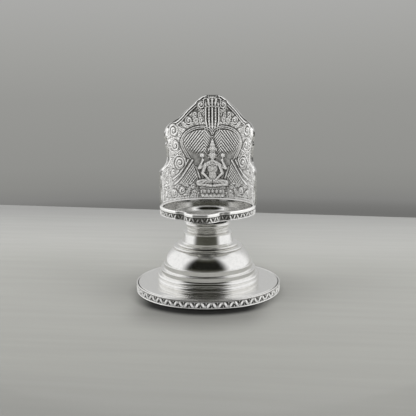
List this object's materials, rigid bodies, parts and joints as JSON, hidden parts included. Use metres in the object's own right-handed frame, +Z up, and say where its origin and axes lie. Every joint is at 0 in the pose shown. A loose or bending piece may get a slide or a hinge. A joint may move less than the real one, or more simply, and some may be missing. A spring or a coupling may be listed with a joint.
{
  "type": "oil lamp",
  "caption": "Standing ritual oil lamp in polished white metal: spun foot, ringed stem, spouted bowl and a half-round stamped back plate.",
  "frame": {"origin": "centre of the foot's round base, on the table", "axes": "+Z up along the lamp's axis; the spout points to -Y and the back plate stands on the +Y side"},
  "size_m": [0.068, 0.068, 0.0907],
  "materials": {
    "white_metal": "mirror-polished nickel silver, plated",
    "plain_metal": "plain rolled sheet, satin",
    "fixing_brass": "turned brass"
  },
  "bodies": {
    "root": {"foot_shell": "white_metal", "foot_strip": "white_metal", "foot_bead": "white_metal", "foot_base_disc": "plain_metal", "stem_bell": "white_metal", "stem_swell": "white_metal", "bowl_dish": "white_metal", "bowl_band": "white_metal", "bowl_lip": "white_metal", "bowl_boss": "fixing_brass", "plate_backing": "white_metal", "plate_relief": "white_metal", "tie_stud": "fixing_brass", "tie_washer": "fixing_brass", "tie_nut": "fixing_brass"}
  },
  "joints": []
}
